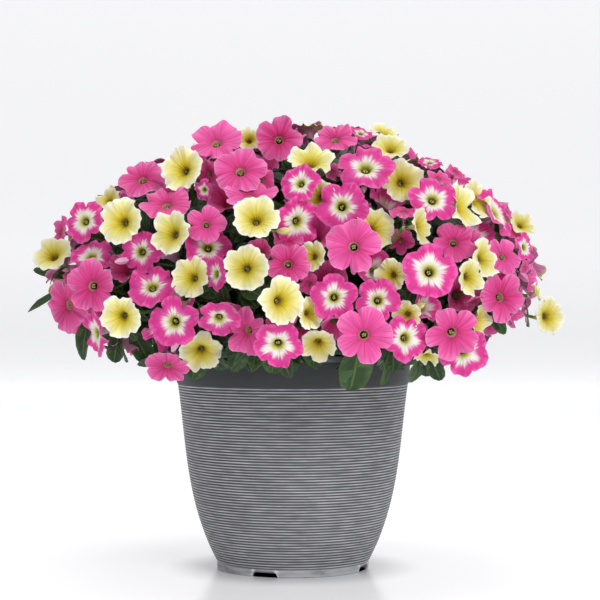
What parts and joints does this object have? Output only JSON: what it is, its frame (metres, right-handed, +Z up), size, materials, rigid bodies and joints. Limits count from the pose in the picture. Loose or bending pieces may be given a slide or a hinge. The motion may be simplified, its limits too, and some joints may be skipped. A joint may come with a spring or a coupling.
{
  "type": "potted spreading petunia",
  "caption": "Round ribbed nursery pot with a wide mound of spreading petunias: hot pink, white-starred pink and pale yellow trumpet blooms on leafy stems.",
  "frame": {"origin": "under the middle of the outline, on the surface that the pot stands on", "axes": "+Z up, -Y towards the front of the mound, +X to its right"},
  "size_m": [0.578, 0.5708, 0.4909],
  "materials": {
    "pot_plastic": "satin",
    "potting_mix": "rough",
    "pink_petunia": "matte",
    "star_petunia": "matte",
    "yellow_petunia": "matte"
  },
  "bodies": {
    "root": {"pot": "pot_plastic", "potting_mix": "potting_mix", "pink_stem_01": "pink_petunia", "pink_stem_02": "pink_petunia", "pink_stem_03": "pink_petunia", "pink_stem_04": "pink_petunia", "pink_stem_05": "pink_petunia", "pink_stem_06": "pink_petunia", "pink_stem_07": "pink_petunia", "pink_stem_08": "pink_petunia", "pink_stem_09": "pink_petunia", "pink_stem_10": "pink_petunia", "pink_stem_11": "pink_petunia", "pink_stem_12": "pink_petunia", "pink_stem_13": "pink_petunia", "pink_stem_14": "pink_petunia", "pink_stem_15": "pink_petunia", "pink_stem_16": "pink_petunia", "pink_stem_17": "pink_petunia", "star_stem_01": "star_petunia", "star_stem_02": "star_petunia", "star_stem_03": "star_petunia", "star_stem_04": "star_petunia", "star_stem_05": "star_petunia", "star_stem_06": "star_petunia", "star_stem_07": "star_petunia", "star_stem_08": "star_petunia", "star_stem_09": "star_petunia", "star_stem_10": "star_petunia", "star_stem_11": "star_petunia", "star_stem_12": "star_petunia", "star_stem_13": "star_petunia", "star_stem_14": "star_petunia", "star_stem_15": "star_petunia", "yellow_stem_01": "yellow_petunia", "yellow_stem_02": "yellow_petunia", "yellow_stem_03": "yellow_petunia", "yellow_stem_04": "yellow_petunia", "yellow_stem_05": "yellow_petunia", "yellow_stem_06": "yellow_petunia", "yellow_stem_07": "yellow_petunia", "yellow_stem_08": "yellow_petunia", "yellow_stem_09": "yellow_petunia", "yellow_stem_10": "yellow_petunia", "yellow_stem_11": "yellow_petunia", "yellow_stem_12": "yellow_petunia", "yellow_stem_13": "yellow_petunia", "yellow_stem_14": "yellow_petunia", "yellow_stem_15": "yellow_petunia", "yellow_stem_16": "yellow_petunia"}
  },
  "joints": []
}
